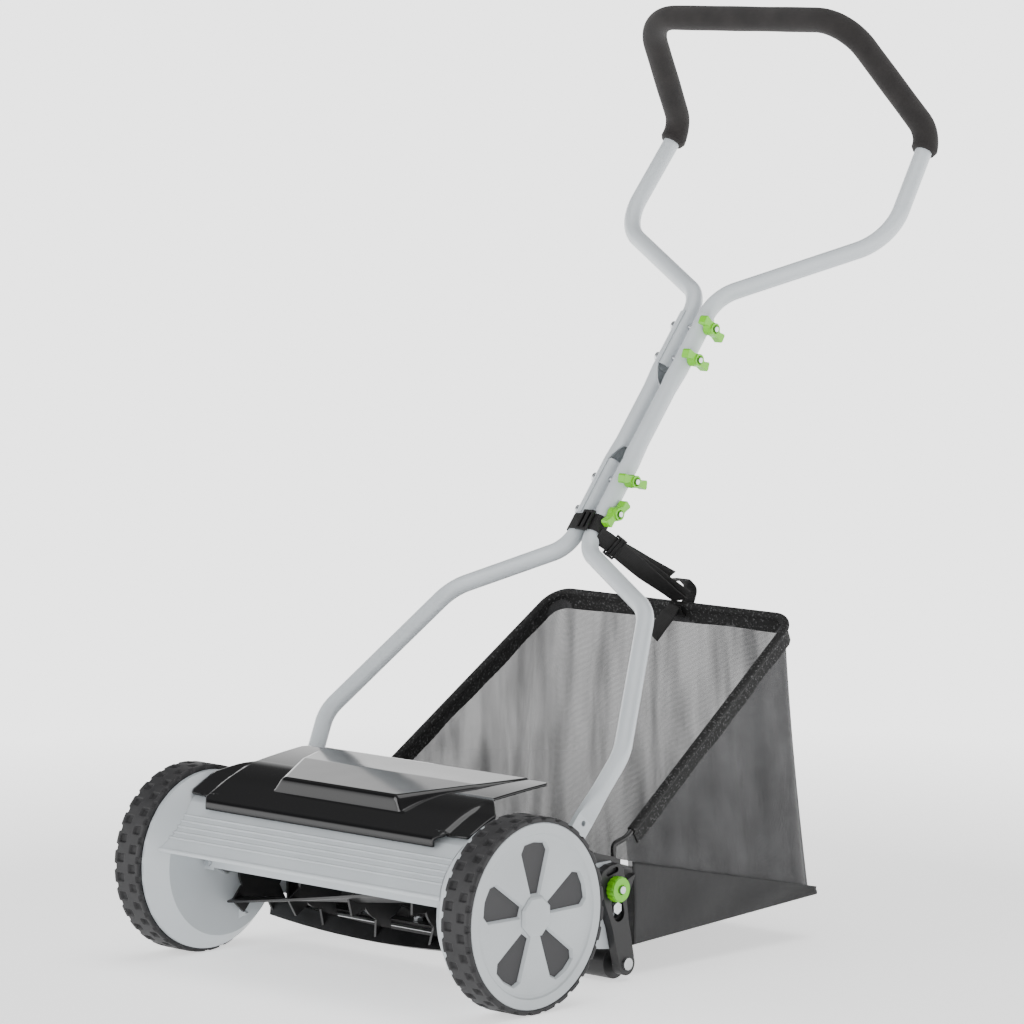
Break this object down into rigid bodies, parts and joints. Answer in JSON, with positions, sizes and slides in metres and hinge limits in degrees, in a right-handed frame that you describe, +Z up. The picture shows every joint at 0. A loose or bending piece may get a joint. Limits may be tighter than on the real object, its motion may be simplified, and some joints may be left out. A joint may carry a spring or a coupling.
{
  "type": "reel mower",
  "caption": "Push reel mower with ribbed front panel, gloss cover, helical reel, looped foam-grip handle, rear roller, knob height adjuster and hooked mesh grass catcher.",
  "frame": {"origin": "point on the floor under the wheel axle, on the mower's centre plane", "axes": "+X across the mower towards the wing nut side, -Y the way it is pushed, +Z up"},
  "size_m": [0.526, 0.825, 1.0095],
  "materials": {
    "frame_paint": "satin light grey paint",
    "handle_paint": "satin light grey paint",
    "cover_gloss": "high gloss black",
    "bar_paint": "satin black paint",
    "blade_steel": "ground edge",
    "fastener": "zinc plated",
    "axle_steel": "turned",
    "bush_plastic": "moulded",
    "arm_plastic": "fine grain moulded black",
    "disc_plastic": "moulded light grey",
    "insert_plastic": "moulded charcoal",
    "tread": "moulded tread",
    "gear_plastic": "moulded",
    "pinion_plastic": "natural nylon",
    "foam": "closed cell foam",
    "lime_plastic": "moulded lime green",
    "wire_coat": "dip coated black",
    "hem_cloth": "woven tape",
    "mesh_cloth": "open polyester mesh",
    "tray_cloth": "coated black cloth",
    "webbing": "woven webbing",
    "slider_plastic": "moulded black"
  },
  "bodies": {
    "chassis": {"side_frame_left": "frame_paint", "side_frame_right": "frame_paint", "front_panel": "frame_paint", "panel_screws": "fastener", "top_cover": "cover_gloss", "cover_screws": "fastener", "bed_bar": "bar_paint", "bed_knife": "blade_steel", "knife_screws": "fastener", "bed_bar_bolts": "fastener", "stub_axles": "axle_steel", "reel_bearings": "bush_plastic", "side_bracket_left": "arm_plastic", "side_bracket_right": "arm_plastic", "bracket_bolts": "fastener", "knob_bolts": "fastener", "lower_handle_left": "handle_paint", "lower_handle_right": "handle_paint", "handle_end_bolts": "fastener", "mid_tube_left": "handle_paint", "mid_tube_right": "handle_paint", "upper_handle": "handle_paint", "foam_grip": "foam", "splice_bolts": "fastener", "strap_loop": "webbing", "strap_slider_upper": "slider_plastic", "strap_slider_lower": "slider_plastic", "strap_run": "webbing"},
    "wheel_left": {"wheel_disc_left": "disc_plastic", "tyre_left": "tread", "ring_gear_left": "gear_plastic", "window_inserts_left": "insert_plastic", "hub_cap_left": "disc_plastic"},
    "wheel_right": {"wheel_disc_right": "disc_plastic", "tyre_right": "tread", "ring_gear_right": "gear_plastic", "window_inserts_right": "insert_plastic", "hub_cap_right": "disc_plastic"},
    "reel": {"reel_shaft": "axle_steel", "reel_spiders": "bar_paint", "reel_blades": "bar_paint", "pinion_left": "pinion_plastic", "pinion_right": "pinion_plastic"},
    "roller_carriage": {"roller_arm_left": "arm_plastic", "roller_arm_right": "arm_plastic", "roller_axle": "axle_steel"},
    "roller": {"rear_roller": "arm_plastic"},
    "knob_left": {"height_knob_left": "lime_plastic"},
    "knob_right": {"height_knob_right": "lime_plastic"},
    "nut_1": {"wing_nut_1": "lime_plastic"},
    "nut_2": {"wing_nut_2": "lime_plastic"},
    "nut_3": {"wing_nut_3": "lime_plastic"},
    "nut_4": {"wing_nut_4": "lime_plastic"},
    "catcher": {"catcher_frame": "wire_coat", "catcher_hem": "hem_cloth", "catcher_mesh": "mesh_cloth", "catcher_tray": "tray_cloth", "strap_end": "webbing"}
  },
  "joints": [
    {"name": "wheel_left_spin", "type": "hinge", "parent": "chassis", "child": "wheel_left", "pos_m": [0, 0, 0.1015], "axis": [1, 0, 0], "continuous": true},
    {"name": "wheel_right_spin", "type": "hinge", "parent": "chassis", "child": "wheel_right", "pos_m": [0, 0, 0.1015], "axis": [1, 0, 0], "continuous": true},
    {"name": "reel_spin", "type": "hinge", "parent": "chassis", "child": "reel", "pos_m": [0, 0.044, 0.092], "axis": [1, 0, 0], "continuous": true},
    {"name": "height_slide", "type": "slide", "parent": "chassis", "child": "roller_carriage", "axis": [0, 0.2284, -0.9736], "range_m": [-0.007, 0.008]},
    {"name": "roller_spin", "type": "hinge", "parent": "roller_carriage", "child": "roller", "pos_m": [0, 0.192, 0.018], "axis": [1, 0, 0], "continuous": true},
    {"name": "height_knob_left_turn", "type": "hinge", "parent": "chassis", "child": "knob_left", "pos_m": [-0.2115, 0.1731, 0.1003], "axis": [-1, 0, 0], "range_deg": [0, 720]},
    {"name": "height_knob_right_turn", "type": "hinge", "parent": "chassis", "child": "knob_right", "pos_m": [0.2115, 0.1731, 0.1003], "axis": [1, 0, 0], "range_deg": [0, 720]},
    {"name": "wing_nut_1_turn", "type": "hinge", "parent": "chassis", "child": "nut_1", "pos_m": [0.03, 0.37258, 0.46332], "axis": [1, 0, 0], "range_deg": [0, 720]},
    {"name": "wing_nut_2_turn", "type": "hinge", "parent": "chassis", "child": "nut_2", "pos_m": [0.03, 0.39965, 0.49674], "axis": [1, 0, 0], "range_deg": [0, 720]},
    {"name": "wing_nut_3_turn", "type": "hinge", "parent": "chassis", "child": "nut_3", "pos_m": [0.03, 0.50224, 0.62341], "axis": [1, 0, 0], "range_deg": [0, 720]},
    {"name": "wing_nut_4_turn", "type": "hinge", "parent": "chassis", "child": "nut_4", "pos_m": [0.03, 0.52867, 0.65604], "axis": [1, 0, 0], "range_deg": [0, 720]},
    {"name": "catcher_lift", "type": "slide", "parent": "chassis", "child": "catcher", "axis": [0, 0, 1], "range_m": [0, 0.06], "deforming": ["strap_run"]}
  ],
  "couplings": [
    {"joint": "wheel_left_spin", "follows": "wheel_right_spin", "ratio": 1},
    {"joint": "reel_spin", "follows": "wheel_right_spin", "ratio": 4.75}
  ]
}
